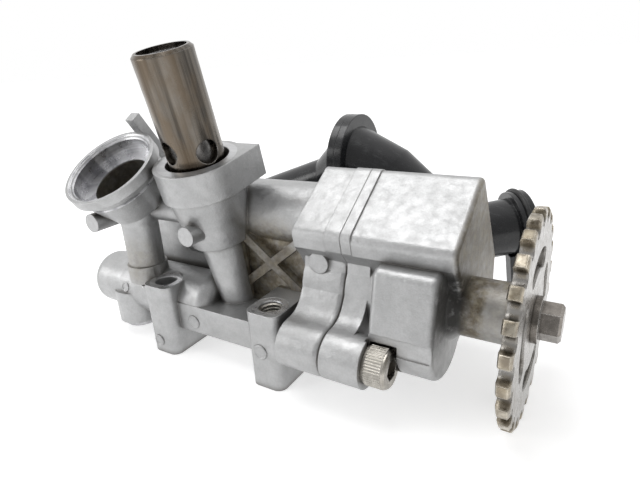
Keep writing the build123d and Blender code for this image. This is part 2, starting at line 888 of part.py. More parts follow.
def make_sprocket():
    """Chain sprocket with a rim bevelled on both sides."""
    with BuildPart() as sprocket:
        with BuildSketch(across(sprocket_seat_x)):
            with Locations((shaft_y, shaft_z)):
                add(wheel_outline())
        extrude(amount=sprocket_thickness)
        with BuildSketch(Plane.XZ.offset(-shaft_y)):
            with BuildLine():
                Polyline(
                    (sprocket_seat_x, shaft_z),
                    (sprocket_seat_x, shaft_z + sprocket_radius - rim_bevel),
                    (sprocket_seat_x + rim_bevel / 2, shaft_z + sprocket_radius),
                    (sprocket_outer_x - rim_bevel / 2, shaft_z + sprocket_radius),
                    (sprocket_outer_x, shaft_z + sprocket_radius - rim_bevel),
                    (sprocket_outer_x, shaft_z),
                    close=True,
                )
            make_face()
        revolve(axis=Axis((0, shaft_y, shaft_z), (1, 0, 0)), mode=Mode.INTERSECT)
    return save(sprocket.part, "sprocket")


def make_sprocket_bolt():
    with BuildPart() as bolt:
        with BuildSketch(across(sprocket_outer_x)):
            with Locations((shaft_y, shaft_z)):
                Circle(bolt_radius - side_gap)
        extrude(amount=-bolt_length)
        with BuildSketch(across(sprocket_outer_x)):
            with Locations((shaft_y, shaft_z)):
                Circle(bolt_flange_radius)
        extrude(amount=bolt_flange)
        with BuildSketch(across(sprocket_outer_x + bolt_flange)):
            with Locations((shaft_y, shaft_z)):
                RegularPolygon(bolt_across_flats / 2, 6, major_radius=False, rotation=bolt_turn)
        extrude(amount=bolt_head - bolt_flange)
        chamfer(bolt.faces().sort_by(Axis.X)[-1].edges(), bolt_bevel)
    return save(bolt.part, "sprocket_bolt")


def make_cover_screws():
    """Socket-head screws that hold the cover, heads toward the sprocket."""
    with BuildPart() as screws:
        with BuildSketch(across(lug_right_x)):
            add(lug_screws_outline(screw_radius - side_gap))
        extrude(amount=-screw_length)
        with BuildSketch(across(lug_right_x)):
            add(lug_screws_outline(screw_head_radius))
        extrude(amount=screw_head_height)
        chamfer(screws.faces().group_by(Axis.X)[-1].edges(), screw_head_bevel)
        with BuildSketch(across(lug_right_x + screw_head_height)):
            with Locations(*lug_places):
                RegularPolygon(hex_socket_flats / 2, 6, major_radius=False)
        extrude(amount=-hex_socket_depth, mode=Mode.SUBTRACT)
    return save(screws.part, "cover_screws")


def make_dowels():
    with BuildPart() as dowels:
        with BuildSketch(across(parting_x - dowel_length / 2 + side_gap)):
            with Locations(*dowel_places):
                Circle(dowel_radius)
                Circle(screw_hole_radius, mode=Mode.SUBTRACT)
        extrude(amount=dowel_length - 2 * side_gap)
    return save(dowels.part, "locating_dowels")


def make_relief_sleeve():
    """Steel sleeve of the relief valve: feed seat below, side ports, open top."""
    with BuildPart() as sleeve:
        with BuildSketch(axial_section(valve_axis)):
            with BuildLine():
                Polyline(
                    (sleeve_feed_radius, -sleeve_seat_depth),
                    (sleeve_radius, -sleeve_seat_depth),
                    (sleeve_radius, sleeve_height - sleeve_rim),
                    (sleeve_radius - sleeve_rim, sleeve_height),
                    (sleeve_bore_radius, sleeve_height),
                    (sleeve_bore_radius, piston_seat),
                    (sleeve_feed_radius, piston_seat),
                    close=True,
                )
            make_face()
        revolve(axis=Axis(valve_axis.origin, valve_axis.z_dir))
        with BuildSketch(valve_axis.offset(-sleeve_seat_depth + o_ring_rise - o_ring_wire)):
            Circle(sleeve_radius + overrun)
            Circle(sleeve_radius - 2 * o_ring_wire + slip_gap, mode=Mode.SUBTRACT)
        extrude(amount=2 * o_ring_wire, mode=Mode.SUBTRACT)
        with BuildSketch(valve_axis.offset(clip_height - clip_wire)):
            Circle(clip_seat_radius)
        extrude(amount=2 * clip_wire, mode=Mode.SUBTRACT)
        for turn in (port_turn, port_turn + quarter_turn):
            spoke = valve_axis.rotated((0, 0, turn)).offset(port_height)
            with BuildSketch(Plane(origin=spoke.origin, x_dir=spoke.z_dir, z_dir=spoke.x_dir)):
                Circle(port_radius)
            extrude(amount=sleeve_radius + overrun, both=True, mode=Mode.SUBTRACT)
    return save(sleeve.part, "relief_sleeve")


def make_relief_piston():
    with BuildPart() as piston:
        with BuildSketch(valve_axis.offset(piston_seat)):
            Circle(sleeve_bore_radius - running_gap)
        extrude(amount=piston_length)
        with BuildSketch(valve_axis.offset(piston_seat + piston_crown)):
            Circle(sleeve_bore_radius - running_gap - piston_wall)
        extrude(amount=piston_length, mode=Mode.SUBTRACT)
    return save(piston.part, "relief_piston")


def make_relief_spring():
    """Coil spring between the piston's crown and the spring seat."""
    room = side_gap + spring_wire
    length = spring_top - piston_seat - piston_crown - 2 * room
    start = valve_axis.offset(piston_seat + piston_crown + room)
    with BuildPart() as spring:
        with BuildLine():
            coil = Helix(
                length / spring_turns,
                length,
                spring_radius,
                center=start.origin,
                direction=start.z_dir,
            )
        with BuildSketch(Plane(origin=coil @ 0, z_dir=coil % 0)):
            Circle(spring_wire)
        sweep(is_frenet=True)
    return save(spring.part, "relief_spring")


def make_spring_seat():
    with BuildPart() as seat:
        with BuildSketch(valve_axis.offset(spring_top)):
            Circle(sleeve_bore_radius - slip_gap)
            Circle(spring_seat_hole, mode=Mode.SUBTRACT)
        extrude(amount=spring_seat_thickness)
    return save(seat.part, "spring_seat")


def make_seat_clip():
    """Open wire ring that holds the spring seat in the sleeve."""
    with BuildPart() as clip:
        with BuildSketch(valve_axis.offset(clip_height - clip_wire + side_gap)):
            Circle(clip_seat_radius - side_gap)
            Circle(clip_seat_radius - clip_width, mode=Mode.SUBTRACT)
            with Locations((0, -clip_seat_radius)):
                Rectangle(clip_width, clip_seat_radius, mode=Mode.SUBTRACT)
        extrude(amount=2 * (clip_wire - side_gap))
    return save(clip.part, "seat_clip")


def ring_on(plane, radius, wire, name):
    """Round ring of round section about a plane's axis."""
    with BuildPart() as ring:
        with BuildSketch(axial_section(plane)):
            with Locations((radius, 0)):
                Circle(wire)
        revolve(axis=Axis(plane.origin, plane.z_dir))
    return save(ring.part, name)


def make_gallery_plug():
    """Core plug pressed into the boss under the gallery's closed end."""
    with BuildPart() as plug:
        with BuildSketch(Plane.XY.offset(plug_boss_foot - plug_drop)):
            with Locations((plug_boss_x, plug_boss_y)):
                Circle(plug_radius)
        extrude(amount=plug_depth + plug_drop)
        fillet(plug.faces().sort_by(Axis.Z)[0].edges(), plug_round)
    return save(plug.part, "gallery_plug")


def round_on(plane, radius):
    """Disc about a plane's origin."""
    with BuildSketch(plane, mode=Mode.PRIVATE) as disc:
        Circle(radius)
    return disc.sketch


def strainer_face(x):
    """Section plane through the strainer's middle line at a given X."""
    return Plane(origin=(x, strainer_y, strainer_z), z_dir=(1, 0, 0))


def make_strainer_outlet():
    """Pump-side half of the suction pipe: strainer flange, funnel and elbow."""
    back = strainer_face(strainer_x - strainer_flange)
    recess = strainer_face(strainer_x - mesh_thickness)
    middle = strainer_face(strainer_x)
    run = elbow_y - socket_mouth_y + socket_depth
    with BuildPart() as outlet:
        extrude(round_on(back, strainer_radius), amount=strainer_flange)
        loft([round_on(back, funnel_radius), round_on(outlet_knee, pipe_radius)])
        loft([round_on(outlet_knee, pipe_radius), round_on(outlet_end, pipe_radius)])
        with Locations(elbow):
            Sphere(pipe_radius)
        with BuildSketch(Plane.XZ.offset(-elbow_y)):
            with Locations((socket_x, socket_z)):
                Circle(pipe_radius)
        extrude(amount=run)
        # Hollow of the pipe and the seat of the mesh
        extrude(
            round_on(recess, strainer_radius - strainer_wall),
            amount=mesh_thickness,
            mode=Mode.SUBTRACT,
        )
        loft(
            [
                round_on(middle, funnel_radius - strainer_wall),
                round_on(outlet_knee, pipe_bore_radius),
            ],
            mode=Mode.SUBTRACT,
        )
        loft(
            [round_on(outlet_knee, pipe_bore_radius), round_on(outlet_end, pipe_bore_radius)],
            mode=Mode.SUBTRACT,
        )
        with Locations(elbow):
            Sphere(pipe_bore_radius, mode=Mode.SUBTRACT)
        with BuildSketch(Plane.XZ.offset(-elbow_y)):
            with Locations((socket_x, socket_z)):
                Circle(pipe_bore_radius)
        extrude(amount=run, mode=Mode.SUBTRACT)
    return save(outlet.part, "strainer_outlet")


def make_strainer_inlet():
    """Outer half of the suction pipe: strainer flange, funnel, spigot, collar and strut."""
    middle = strainer_face(strainer_x)
    front = strainer_face(strainer_x + strainer_flange)
    collar = spigot_axis.offset(spigot_length)
    groove = collar.offset(collar_length / 2 - groove_width / 2)
    spigot_bore = spigot_radius - strainer_wall
    with BuildPart() as inlet:
        extrude(round_on(middle, strainer_radius), amount=strainer_flange)
        loft([round_on(front, funnel_radius), round_on(inlet_knee, spigot_radius)])
        loft([round_on(inlet_knee, spigot_radius), round_on(spigot_axis, spigot_radius)])
        extrude(round_on(spigot_axis, spigot_radius), amount=spigot_length)
        extrude(round_on(collar, collar_radius), amount=collar_length)
        with BuildSketch(collar):
            with Locations((strut_side, strut_thickness - collar_radius - strut_length / 2)):
                Rectangle(strut_width, strut_length)
        extrude(amount=-strut_thickness)
        with BuildSketch(groove):
            Circle(collar_radius + overrun)
            Circle(collar_radius - groove_depth, mode=Mode.SUBTRACT)
        extrude(amount=groove_width, mode=Mode.SUBTRACT)
        # Hollow of the pipe
        loft(
            [round_on(middle, funnel_radius - strainer_wall), round_on(inlet_knee, spigot_bore)],
            mode=Mode.SUBTRACT,
        )
        loft(
            [round_on(inlet_knee, spigot_bore), round_on(spigot_axis, spigot_bore)],
            mode=Mode.SUBTRACT,
        )
        bore_length = spigot_length + collar_length + overrun
        extrude(round_on(spigot_axis, spigot_bore), amount=bore_length, mode=Mode.SUBTRACT)
    return save(inlet.part, "strainer_inlet")


def make_strainer_mesh():
    recess = strainer_face(strainer_x - mesh_thickness)
    with BuildPart() as mesh:
        extrude(round_on(recess, strainer_radius - strainer_wall - slip_gap), amount=mesh_thickness)
    return save(mesh.part, "strainer_mesh")


os.makedirs("parts", exist_ok=True)
make_body()
make_cover()
make_shaft()
make_drive_pin()
make_bushes()
make_inner_rotor()
make_outer_rotor()
make_sprocket()
make_sprocket_bolt()
make_cover_screws()
make_dowels()
make_relief_sleeve()
make_relief_piston()
make_relief_spring()
make_spring_seat()
make_seat_clip()
make_gallery_plug()
make_strainer_outlet()
make_strainer_inlet()
make_strainer_mesh()
ring_on(
    valve_axis.offset(-sleeve_seat_depth + o_ring_rise),
    sleeve_radius - o_ring_wire + slip_gap / 2,
    o_ring_wire - slip_gap / 2,
    "valve_o_ring",
)
ring_on(
    spigot_axis.offset(spigot_length + collar_length / 2),
    collar_radius - groove_depth + o_ring_wire,
    o_ring_wire - side_gap,
    "spigot_o_ring",
)
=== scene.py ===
"""Looks of the engine oil pump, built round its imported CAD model.

Metres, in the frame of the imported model: X along the drive shaft towards the sprocket,
Y away from the front mounting bosses, Z up from the feet. The constants hold millimetres,
degrees and shares where nothing else is said, and MM turns millimetres into metres.
"""

import json
from math import cos, pi, radians, sin

import bmesh
import bpy
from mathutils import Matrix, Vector


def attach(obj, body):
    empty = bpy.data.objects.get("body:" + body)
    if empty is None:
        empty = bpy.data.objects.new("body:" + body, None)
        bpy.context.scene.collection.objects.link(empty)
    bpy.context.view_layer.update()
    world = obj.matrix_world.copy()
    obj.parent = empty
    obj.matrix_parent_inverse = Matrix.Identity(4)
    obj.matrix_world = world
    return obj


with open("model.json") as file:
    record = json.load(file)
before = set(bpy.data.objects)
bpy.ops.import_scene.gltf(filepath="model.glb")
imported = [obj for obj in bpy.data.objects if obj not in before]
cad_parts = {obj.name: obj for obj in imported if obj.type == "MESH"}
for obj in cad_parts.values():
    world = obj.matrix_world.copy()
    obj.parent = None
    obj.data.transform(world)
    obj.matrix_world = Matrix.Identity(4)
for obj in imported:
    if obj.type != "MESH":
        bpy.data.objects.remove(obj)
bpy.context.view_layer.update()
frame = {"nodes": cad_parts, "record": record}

MM = 0.001
NODES = frame["nodes"]

# Axes of the model
SHAFT_Y = 16.7
SHAFT_Z = 26.0
VALVE_BASE = (-4.6, 5.3, 61.0)
VALVE_TILT = 13.0
CUP_BASE = (-29.5, -5.0, 59.5)
CUP_TILT = 33.5
BOSS_X = 20.15
BOSS_HEIGHT = 23.0

# Zones about those axes: radius, middle along the axis, half length, blur of each
CUP_BORE = (12.7, -2.9, 3.05, 0.1, 0.05)
CUP_RIM = (13.5, 0.0, 0.3, 0.1, 0.05)
CUP_THROAT = (9.2, -10.5, 4.2, 0.4, 0.4)
VALVE_SEAT = (11.4, 0.0, 0.2, 0.1, 0.05)
BOSS_TOP = (5.1, BOSS_HEIGHT, 0.3, 0.1, 0.1)
SLEEVE_INSIDE_RADIUS = 7.3
TOOTH_ROOT_RADIUS = 23.2

# Stains, and the painted black shadow at the neck's root: place, where the fall-off starts and
# ends, strength
WEB_STAIN = ((11.0, 13.5, 27.0), 9.0, 21.0, 0.95)
CUP_STAIN = ((-30.0, -1.0, 28.0), 3.0, 11.0, 0.4)
NECK_SHADOW = ((66.5, 6.5, 30.0), 6.0, 13.5, 0.95)
THROAT_STAIN = 0.9
# Strengths of the painted shade in the throat and on the web's ribs
THROAT_SHADE = 0.6
RIB_SHADE = 0.35
# Where they begin and end along X or Y, from nothing to full
WEB_FRONT = (10.3, 11.0)
RIB_BACK = (11.9, 11.2)
NECK_ROOT = (67.4, 69.4)
NECK_SHADOW_LEFT = (64.5, 66.5)
NECK_SHADOW_RIGHT = (71.5, 68.0)
NECK_PATCH_BACK = (17.0, 10.5)
# Bare patch on the neck and seam between the castings: middle along X, half width, blur
NECK_PATCH = (76.4, 2.6, 1.2)
NECK_PATCH_SHARE = 0.55
PARTING_SEAM = (40.0, 0.09, 0.05)

# Pieces
SCREW_PLACES = [(-2.4, 15.6), (37.0, 17.5), (38.5, 41.0)]
SCREW_HEAD_START = 50.6
SCREW_HEAD_RADIUS = 5.0
KNURLS = 46
KNURL_DEPTH = 0.17
KNURL_FOOT = 0.02
KNURL_SINK = 0.2
KNURL_START = 0.5
KNURL_END = 5.2
# Ejector marks: share of the radius, and height
MARK_PROFILE = [
    (0.01, -0.4),
    (0.01, 0.16),
    (0.70, 0.16),
    (0.80, 0.36),
    (0.94, 0.34),
    (1.0, 0.1),
    (1.0, -0.4),
]
MARK_STEPS = 48
MARKS = [
    ("ejector_mark_1", (19.3, -5.3, 11.4), (0, -1, 0), 2.3),
    ("ejector_mark_2", (-8.9, -1.6, 11.8), (0, -1, 0), 2.2),
    ("ejector_mark_3", (-39.4, -1.15, 17.4), (0, -0.975, 0.222), 1.7),
    ("ejector_mark_4", (-21.6, -5.3, 4.2), (0, -1, 0), 1.9),
]
WING_LEFT = -41.0
WING_RIGHT = -28.0
WING_FRONT = 14.2
WING_BACK = 18.8
WING_BOTTOM = 14.0
WING_TOP = 45.0
WING_ROUND = 4.0
WING_CORNER_STEPS = 6
THREAD_START = BOSS_HEIGHT - 0.8
THREAD_RADIUS = 3.3
THREAD_DEPTH = 0.45
THREAD_SINK = 0.1
THREAD_PITCH = 1.0
THREAD_TURNS = 14
THREAD_FLANK_SHARE = 0.42
THREAD_STEPS = 36

# The photograph's camera
CAMERA_PLACE = (96.5, -93.6, 86.0)
CAMERA_TURN = (69.49, 3.33, 31.05)
CAMERA_LENS = 27.92
SENSOR_WIDTH = 36.0
CAMERA_CLIP = 5.0

# Light: places and sizes in metres, powers in watts
KEY_PLACE = (-0.2, -0.02, 0.8)
KEY_TARGET = (0.0, 0.02, 0.04)
KEY_SIZE = 0.5
KEY_POWER = 2.2
SIDE_PLACE = (-0.55, -0.5, 0.3)
SIDE_TARGET = (0.0, 0.0, 0.04)
SIDE_SIZE = 0.35
SIDE_POWER = 1.3
FLOOR_RADIUS = 6.0
FLOOR_STEPS = 96
# What the floor adds for the camera, and the world's strength for diffuse light
FLOOR_LIFT = 0.54
WORLD_LIGHT = 0.7
# The world's fall-off: a direction, cosines to it, and the level on the dim side
AWAY_FROM_CAMERA = (-0.53, 0.85, 0.25)
DIM_COSINE = -0.55
BRIGHT_COSINE = 0.35
DIM_LEVEL = 0.52

# Finishes. A noise has its size, detail and coarseness. A cover has the lowest and highest
# noise and the share it reaches. Crevices, which hold painted shade, have their reach, openness
# and strength. A stretch has its scale and turn. Bright edges, wear with a painted highlight,
# have their reach and share. A gloss is the noise's size and detail, then the lowest and highest
# roughness. Depths and edges are in millimetres.

# Castings: colours
CAST = (0.42, 0.42, 0.418)
CAST_DARK = (0.42, 0.422, 0.423)
CAST_LIGHT = (0.49, 0.492, 0.494)
CAST_SPECK = (0.30, 0.30, 0.298)
CAST_PATCH = (0.35, 0.35, 0.345)
CAST_FLOW = (0.56, 0.56, 0.56)
# Bright edges: wear, with a painted highlight
CAST_EDGE_WEAR_AND_HIGHLIGHT = (0.66, 0.66, 0.66)
CUT_DARK = (0.60, 0.60, 0.615)
CUT_LIGHT = (0.78, 0.78, 0.79)
CUT_STREAK = (0.36, 0.36, 0.38)
# Painted shade for the corners
CAST_CREVICE_SHADE = (0.11, 0.10, 0.088)
OIL_DARK = (0.145, 0.115, 0.072)
OIL_LIGHT = (0.34, 0.30, 0.22)
# Black for the painted shade at the neck's root, on the ribs and in the throat
SHADE_BLACK = (0.03, 0.029, 0.027)
SEAM_DIRT = (0.10, 0.09, 0.075)
# Castings: pattern
MOTTLE_NOISE = (7.0, 5.0, 0.6)
SPECK_NOISE = (0.5, 3.0, 0.6)
SPECK_COVER = (0.35, 0.65, 0.22)
PATCH_NOISE = (2.2, 5.0, 0.65)
PATCH_COVER = (0.5, 0.72, 0.2)
FLOW_NOISE = (1.3, 4.0, 0.6)
FLOW_STRETCH = ((0.05, 0.2, 0.2), (0, 25, 0))
FLOW_COVER = (0.45, 0.72, 0.3)
CAST_EDGE_BRIGHTENING = (0.5, 0.5)
TOOL_NOISE = (0.9, 2.0, 0.5)
TOOL_COVER = (0.35, 0.65)
BOSS_RINGS = 0.6
STREAK_SCALE = 2.2
STREAK_DETAIL = 2.0
STREAK_COVER = (0.44, 0.6)
SEAT_SHARE = 0.5
CAST_CREVICES = (2.6, 0.3, 0.95, 0.75)
# Shares by which the painted corner shade is held back on machined faces and on the web
CUT_LESS_SHADE = 0.95
WEB_LESS_SHADE = 0.6
BLOT_NOISE = (2.6, 5.0, 0.65)
STAIN_BREAKS = (0.25, 0.62, 0.45, 1.0)
FILM_COVER = (0.4, 0.68)
NECK_SHADOW_COVER = (0.2, 0.5)
SEAM_SHARE = 0.5
# Castings: gloss and relief
CAST_METALLIC = 0.8
# Metallic where stained or under the painted black shade
STAINED_AND_SHADED_METALLIC = 0.3
CAST_GLOSS = (2.2, 4.0, 0.34, 0.48)
CUT_GLOSS = 0.1
GRAIN_NOISE = (0.26, 2.0)
GRAIN_DEPTH = 0.05
LUMP_NOISE = (1.7, 4.0)
LUMP_DEPTH = 0.11
TOOL_DEPTH = 0.012
SEAM_DEPTH = 0.08
CAST_EDGE = 0.45

# Sleeve
SLEEVE = (0.24, 0.215, 0.19)
SLEEVE_DARK = (0.040, 0.037, 0.033)
SLEEVE_LIGHT = (0.165, 0.149, 0.130)
SLEEVE_STREAK = (0.28, 0.25, 0.215)
SLEEVE_FILM = (0.125, 0.092, 0.060)
# Bright edges: wear, with a painted highlight
SLEEVE_EDGE_WEAR_AND_HIGHLIGHT = (0.50, 0.49, 0.48)
BAND_NOISE = (4.5, 2.0, 0.5)
BAND_SCALE = (1.0, 1.0, 0.06)
BAND_COVER = (0.38, 0.62)
SLEEVE_STREAK_NOISE = (1.0, 4.0, 0.6)
SLEEVE_STREAK_SCALE = (1.0, 1.0, 0.03)
SLEEVE_STREAK_COVER = (0.35, 0.7, 0.35)
SLEEVE_FILM_NOISE = (8.0, 5.0, 0.6)
SLEEVE_FILM_SCALE = (1.0, 1.0, 0.4)
SLEEVE_FILM_COVER = (0.42, 0.66, 0.65)
SLEEVE_EDGE_BRIGHTENING = (0.4, 0.5)
SLEEVE_BLUR = 0.05
SLEEVE_GLOSS = (3.0, 4.0, 0.16, 0.3)
SLEEVE_STREAK_DEPTH = 0.012
SLEEVE_EDGE = 0.5

# Sprocket: its face, then its teeth from the root outward
WHEEL = (0.42, 0.39, 0.34)
FACE_DARK = (0.30, 0.29, 0.275)
FACE_LIGHT = (0.43, 0.415, 0.395)
FACE_STAIN = (0.26, 0.235, 0.20)
FACE_RINGS = 0.35
FACE_RING_DEPTH = 0.015
FACE_STAIN_NOISE = (6.0, 5.0)
FACE_STAIN_COVER = (0.45, 0.7, 0.5)
TOOTH_DARK = (0.22, 0.19, 0.15)
TOOTH_LIGHT = (0.46, 0.42, 0.35)
TOOTH_BRASSY = (0.45, 0.38, 0.265)
# Painted shade at the teeth's roots
TOOTH_ROOT_SHADE = (0.19, 0.165, 0.125)
TOOTH_WORN = (0.72, 0.67, 0.58)
TOOTH_NOISE = (2.4, 4.0)
TOOTH_COVER = (0.35, 0.65)
BRASSY_NOISE = (9.0, 2.0)
BRASSY_COVER = (0.45, 0.65, 0.4)
TOOTH_START = (TOOTH_ROOT_RADIUS, TOOTH_ROOT_RADIUS + 1.0)
# Radii over which the painted root shade fades out toward the crests
TOOTH_SHADE_FADE = (TOOTH_ROOT_RADIUS + 0.6, TOOTH_ROOT_RADIUS + 2.3)
TOOTH_WEAR_REACH = 0.35
# Painted shade for the corners
WHEEL_CREVICE_SHADE = (0.06, 0.05, 0.038)
WHEEL_CREVICES = (1.8, 0.35, 0.95, 0.8)
WHEEL_GLOSS = (1.5, 4.0, 0.22, 0.38)
WHEEL_GRAIN_SIZE = 0.5
WHEEL_GRAIN_DEPTH = 0.02
WHEEL_EDGE = 0.9

# Plated and ground steels
PLATED_NOISE = (2.6, 4.0, 0.6)
# Bright edges: wear, with a painted highlight
PLATED_EDGE_WEAR_AND_HIGHLIGHT = (0.74, 0.73, 0.71)
PLATED_EDGE_BRIGHTENING = (0.3, 0.7)
# Painted shade for the corners
PLATED_CREVICE_SHADE = (0.08, 0.07, 0.06)
PLATED_CREVICES = (1.2, 0.3, 0.9, 0.75)
PLATED_GLOSS = (1.2, 3.0)
SCRATCH_NOISE = (0.5, 3.0, 0.6)
SCRATCH_STRETCH = ((0.1, 1.0, 1.0), (0, 12, 20))
SCRATCH_DEPTH = 0.01
PLATED_EDGE = 0.25
# Dark and light colour, lowest and highest roughness
PLATED = {
    "piston_steel": ((0.09, 0.086, 0.082), (0.19, 0.185, 0.18), 0.2, 0.32),
    "spring_steel": ((0.28, 0.28, 0.3), (0.42, 0.42, 0.44), 0.25, 0.4),
    "bolt_steel": ((0.17, 0.155, 0.14), (0.31, 0.285, 0.26), 0.16, 0.3),
    "screw_steel": ((0.34, 0.32, 0.285), (0.50, 0.475, 0.43), 0.24, 0.38),
    "shaft_steel": ((0.36, 0.36, 0.37), (0.52, 0.52, 0.53), 0.18, 0.3),
    "rotor_steel": ((0.28, 0.28, 0.29), (0.42, 0.42, 0.43), 0.3, 0.45),
}

# Bronze
BRONZE = (0.55, 0.40, 0.24)
BRONZE_DARK = (0.42, 0.29, 0.17)
BRONZE_LIGHT = (0.62, 0.47, 0.30)
BRONZE_NOISE = (1.8, 4.0)
BRONZE_GLOSS = (0.8, 3.0, 0.28, 0.45)
BRONZE_GRAIN_SIZE = 0.3
BRONZE_GRAIN_DEPTH = 0.01

# Plastic
PLASTIC = (0.012, 0.0125, 0.014)
PLASTIC_DARK = (0.013, 0.0135, 0.015)
PLASTIC_SCUFF = (0.040, 0.041, 0.043)
SCUFF_NOISE = (1.4, 5.0, 0.65)
SCUFF_STRETCH = ((0.35, 1.0, 1.0), (10, 20, 0))
SCUFF_COVER = (0.5, 0.75)
PLASTIC_GLOSS = (3.0, 4.0, 0.14, 0.27)
PLASTIC_GRAIN_NOISE = (0.45, 3.0)
PLASTIC_GRAIN_DEPTH = 0.012
PLASTIC_EDGE = 0.5

# Wire mesh
MESH = (0.5, 0.51, 0.52)
MESH_GAP = (0.05, 0.05, 0.05)
MESH_WIRE = (0.52, 0.53, 0.54)
MESH_SCALE = 160.0
MESH_DEPTH = 0.3

# Rubber
RUBBER = (0.018, 0.018, 0.018)
RUBBER_DARK = (0.014, 0.014, 0.014)
RUBBER_LIGHT = (0.04, 0.04, 0.039)
RUBBER_NOISE = (2.0, 4.0)
RUBBER_COVER = (0.4, 0.7)
RUBBER_GLOSS = (0.8, 3.0, 0.4, 0.6)
RUBBER_GRAIN_SIZE = 0.2
RUBBER_GRAIN_DEPTH = 0.01

# Floor
FLOOR = (0.86, 0.86, 0.865)
FLOOR_DARK = (0.85, 0.85, 0.855)
FLOOR_LIGHT = (0.87, 0.87, 0.87)
FLOOR_NOISE = (60.0, 2.0)
FLOOR_SPECULAR = 0.1

# Most of a noise's values lie between these
NOISE_LOW = 0.3
NOISE_HIGH = 0.7
# Cosines between the true and the rounded normal, on an edge and on a face
EDGE_COSINE = 0.75
FACE_COSINE = 0.995
BEVEL_SAMPLES = 4
# Detail and coarseness of turning marks
RING_TEXTURE = (3.0, 0.6)


def metres(place):
    return Vector(place) * MM


class Graph:
    """Short calls for building one node material on Blender's standard shader."""

    def __init__(self, name, metallic, roughness, colour):
        self.material = bpy.data.materials.new(name)
        self.material.use_nodes = True
        self.tree = self.material.node_tree
        self.shader = self.tree.nodes["Principled BSDF"]
        self.shader.inputs["Metallic"].default_value = metallic
        self.shader.inputs["Roughness"].default_value = roughness
        self.shader.inputs["Base Color"].default_value = (*colour, 1)
        self.place = self.add("ShaderNodeTexCoord").outputs["Object"]

    def add(self, kind, settings=None, **sockets):
        """A node with its settings, and with its sockets set to values or linked to outputs."""
        node = self.tree.nodes.new(kind)
        for key, value in (settings or {}).items():
            setattr(node, key, value)
        for key, value in sockets.items():
            self.join(node, key.replace("_", " "), value)
        return node

    def join(self, node, key, value):
        """Sets or links one socket, named by its label or its number."""
        socket = node.inputs[int(key)] if key.isdigit() else node.inputs[key]
        if isinstance(value, bpy.types.NodeSocket):
            self.tree.links.new(value, socket)
        else:
            socket.default_value = value

    def math(self, operation, a, b=0.0):
        node = self.add("ShaderNodeMath", {"operation": operation})
        self.join(node, "0", a)
        self.join(node, "1", b)
        return node.outputs[0]

    def both(self, a, b):
        return self.math("MULTIPLY", a, b)

    def either(self, a, b):
        return self.math("MAXIMUM", a, b)

    def without(self, a):
        return self.math("SUBTRACT", 1.0, a)

    def length(self, a, b):
        squares = self.math("ADD", self.math("MULTIPLY", a, a), self.math("MULTIPLY", b, b))
        return self.math("SQRT", squares)

    def noise(self, size_mm, detail=3.0, coarse=0.55, place=None):
        """Noise whose features are about the given size."""
        node = self.add(
            "ShaderNodeTexNoise",
            Vector=place or self.place,
            Scale=1 / (size_mm * MM),
            Detail=detail,
            Roughness=coarse,
        )
        return node.outputs["Fac"]

    def span(self, value, low, high, out_low=0.0, out_high=1.0):
        """Value mapped smoothly from low..high to out_low..out_high."""
        node = self.add("ShaderNodeMapRange", {"interpolation_type": "SMOOTHSTEP"})
        numbers = (value, low, high, out_low, out_high)
        for index, number in enumerate(numbers):
            self.join(node, str(index), number)
        return node.outputs[0]

    def span_mm(self, value, low, high, out_low=0.0, out_high=1.0):
        """The same for a length in metres and limits in millimetres."""
        return self.span(value, low * MM, high * MM, out_low, out_high)

    def cover(self, value, low=NOISE_LOW, high=NOISE_HIGH, share=1.0):
        """Share of a layer, growing from 0 as a noise rises from low to high."""
        return self.span(value, low, high, 0.0, share)

    def wander(self, size_mm, detail, low=0.0, high=1.0):
        """Value that wanders from low to high over features of a size."""
        return self.span(self.noise(size_mm, detail), NOISE_LOW, NOISE_HIGH, low, high)

    def mix(self, share, a, b):
        """Colour between a and b."""
        node = self.add("ShaderNodeMix", {"data_type": "RGBA"})
        self.join(node, "0", share)
        self.join(node, "6", a if isinstance(a, bpy.types.NodeSocket) else (*a, 1))
        self.join(node, "7", b if isinstance(b, bpy.types.NodeSocket) else (*b, 1))
        return node.outputs[2]

    def axes(self):
        return self.add("ShaderNodeSeparateXYZ", Vector=self.place).outputs

    def along(self, value):
        """Texture place that varies with one value alone."""
        return self.add("ShaderNodeCombineXYZ", X=value).outputs[0]

    def stretched(self, scale, turn=(0, 0, 0)):
        """Object coordinates turned in degrees, then scaled along each axis."""
        turned = self.add("ShaderNodeMapping", {"vector_type": "TEXTURE"}, Vector=self.place)
        turned.inputs["Rotation"].default_value = [radians(angle) for angle in turn]
        node = self.add("ShaderNodeMapping", Vector=turned.outputs[0])
        node.inputs["Scale"].default_value = scale
        return node.outputs[0]

    def about(self, place_mm, tilt):
        """Outputs X, Y, Z in a frame at a place, tilted about X by degrees."""
        node = self.add("ShaderNodeMapping", {"vector_type": "TEXTURE"}, Vector=self.place)
        node.inputs["Location"].default_value = metres(place_mm)
        node.inputs["Rotation"].default_value = (radians(tilt), 0, 0)
        return self.add("ShaderNodeSeparateXYZ", Vector=node.outputs[0]).outputs

    def near(self, value, centre, half, blur):
        """1 where the value lies within half of centre, and 0 beyond a blurred edge."""
        off = self.math("ABSOLUTE", self.math("SUBTRACT", value, centre * MM))
        return self.span_mm(off, half - blur, half + blur, 1.0, 0.0)

    def zone(self, radius, height, sizes):
        """1 inside a short cylinder about an axis."""
        outer, middle, half, blur, end_blur = sizes
        inside = self.near(radius, 0.0, outer, blur)
        return self.both(inside, self.near(height, middle, half, end_blur))

    def spot(self, sizes):
        """Strength near a place, falling to 0 round it."""
        place, start, end, strength = sizes
        node = self.add("ShaderNodeVectorMath", {"operation": "DISTANCE"})
        self.join(node, "0", self.place)
        self.join(node, "1", metres(place))
        return self.span_mm(node.outputs["Value"], start, end, strength, 0.0)

